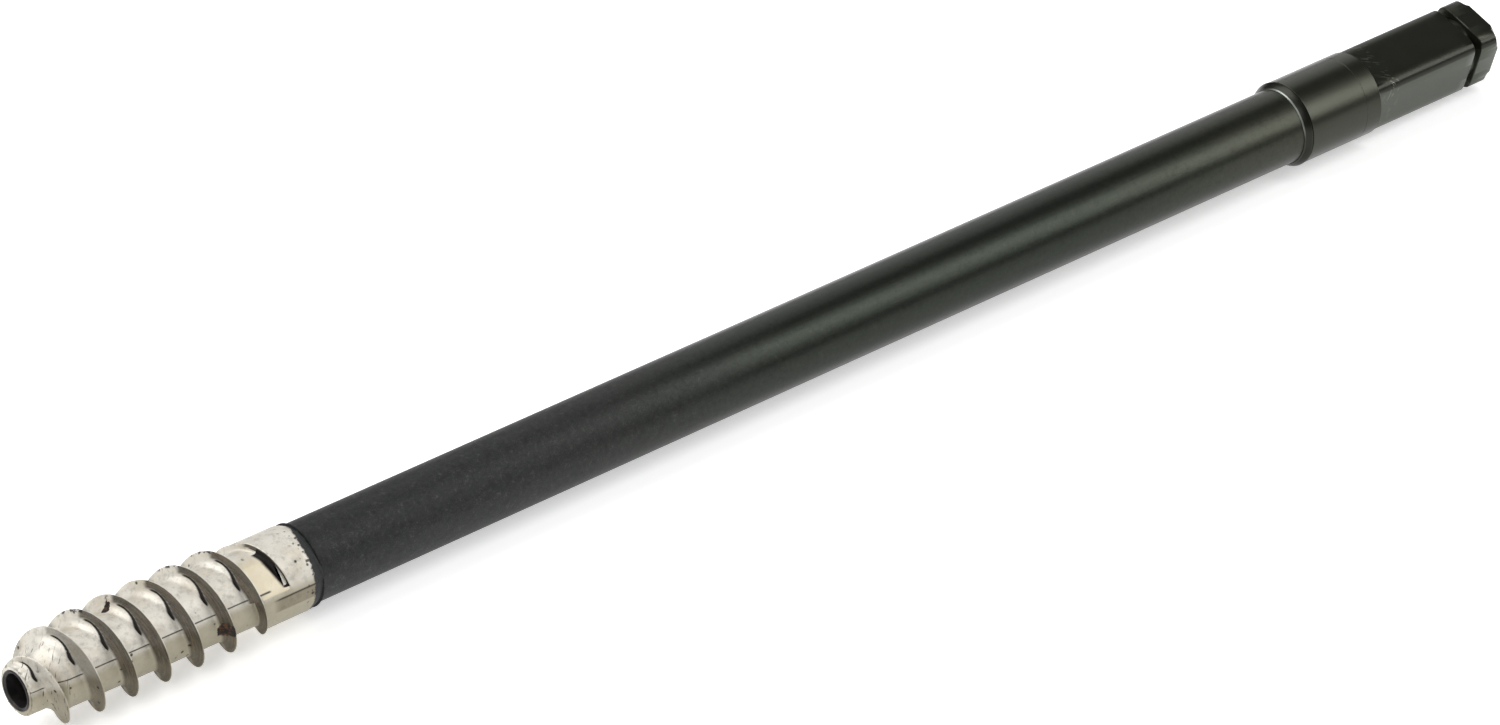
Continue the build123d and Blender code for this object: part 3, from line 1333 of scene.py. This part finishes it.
@dataclass(frozen=True)
class SoftBox:
    """One square or oblong soft light aimed at a point of the screw."""

    name: str
    direction: Triple
    distance: float
    width: float
    height: float
    power: float

    def build(self, target: Vector) -> None:
        """Adds the light.

        Args:
            target: The point it is aimed at.
        """
        lamp = bpy.data.lights.new(self.name, "AREA")
        lamp.shape = "RECTANGLE"
        lamp.size = self.width
        lamp.size_y = self.height
        lamp.energy = self.power
        holder = bpy.data.objects.new(self.name, lamp)
        away = Vector(self.direction).normalized()
        holder.location = target + away * self.distance
        holder.rotation_euler = away.to_track_quat("Z", "X").to_euler()
        holder.visible_camera = False
        bpy.context.scene.collection.objects.link(holder)


@dataclass(frozen=True)
class Studio:
    """Floor, lights and camera."""

    azimuth: float = -40.5
    elevation: float = 31.6
    aim_x: float = 0.176
    distance: float = 1.473
    lens: float = 181.4
    sensor: float = 36.0
    nearest: float = 0.05
    floor_size: float = 24.0
    floor_squares: int = 24
    room_colour: Colour = (0.80, 0.84, 0.80)
    room_strength: float = 0.08

    def add_floor(self, height: float) -> None:
        """Adds the floor at a height."""
        work = bmesh.new()
        count = self.floor_squares
        bmesh.ops.create_grid(work, x_segments=count, y_segments=count, size=self.floor_size / 2)
        mesh = bpy.data.meshes.new("floor")
        work.to_mesh(mesh)
        work.free()
        floor = bpy.data.objects.new("floor", mesh)
        floor.location = (self.aim_x, 0.0, height)
        mesh.materials.append(FloorFinish().build())
        bpy.context.scene.collection.objects.link(floor)
        floor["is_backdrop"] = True

    def add_world(self) -> None:
        """Adds the dim grey room that the metal reflects."""
        world = bpy.data.worlds.new("room")
        world.use_nodes = True
        background = world.node_tree.nodes["Background"]
        background.inputs["Color"].default_value = (*self.room_colour, 1.0)
        background.inputs["Strength"].default_value = self.room_strength
        bpy.context.scene.world = world

    def add_lights(self) -> None:
        """Adds the soft lights."""
        target = Vector((self.aim_x, 0.0, 0.0))
        boxes = [
            SoftBox("streak_box", (0.553, -0.480, 0.680), 1.7, 1.9, 0.42, 17.0),
            SoftBox("top_box", (-0.40, 0.45, 0.80), 1.9, 1.8, 1.5, 32.0),
            SoftBox("back_box", (0.553, 0.589, 0.589), 1.7, 1.9, 0.8, 5.0),
            SoftBox("front_box", (-0.80, -0.35, 0.50), 1.8, 1.0, 1.0, 9.0),
        ]
        for box in boxes:
            box.build(target)

    def add_camera(self) -> None:
        """Adds the camera at its place."""
        around, up = math.radians(self.azimuth), math.radians(self.elevation)
        level = math.cos(up)
        back = Vector((math.sin(around) * level, -math.cos(around) * level, math.sin(up)))
        camera = bpy.data.cameras.new("camera")
        camera.lens = self.lens
        camera.sensor_width = self.sensor
        camera.clip_start = self.nearest
        holder = bpy.data.objects.new("camera", camera)
        holder.location = Vector((self.aim_x, 0.0, 0.0)) + back * self.distance
        holder.rotation_euler = back.to_track_quat("Z", "Y").to_euler()
        bpy.context.scene.collection.objects.link(holder)
        bpy.context.scene.camera = holder

    def build(self, floor_height: float) -> None:
        """Builds the studio.

        Args:
            floor_height: Height of the floor.
        """
        bpy.context.scene.view_settings.view_transform = "Standard"
        self.add_camera()
        self.add_world()
        self.add_lights()
        self.add_floor(floor_height)
        LOG.info("built the studio")


def main() -> None:
    """Builds the screw's pieces around the frame."""
    logging.basicConfig(level=logging.INFO, format="%(name)s: %(message)s")
    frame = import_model()
    design_box = [list(corner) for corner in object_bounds()]
    Studio().build(design_box[0][2] - FLOOR_GAP)
    for piece in (CastTip(), CoreLiner(), Shaft(), Sleeve(), MouthRing(), Shank()):
        piece.build()
    HiddenSteel().build(frame)


if __name__ == "__main__":
    main()
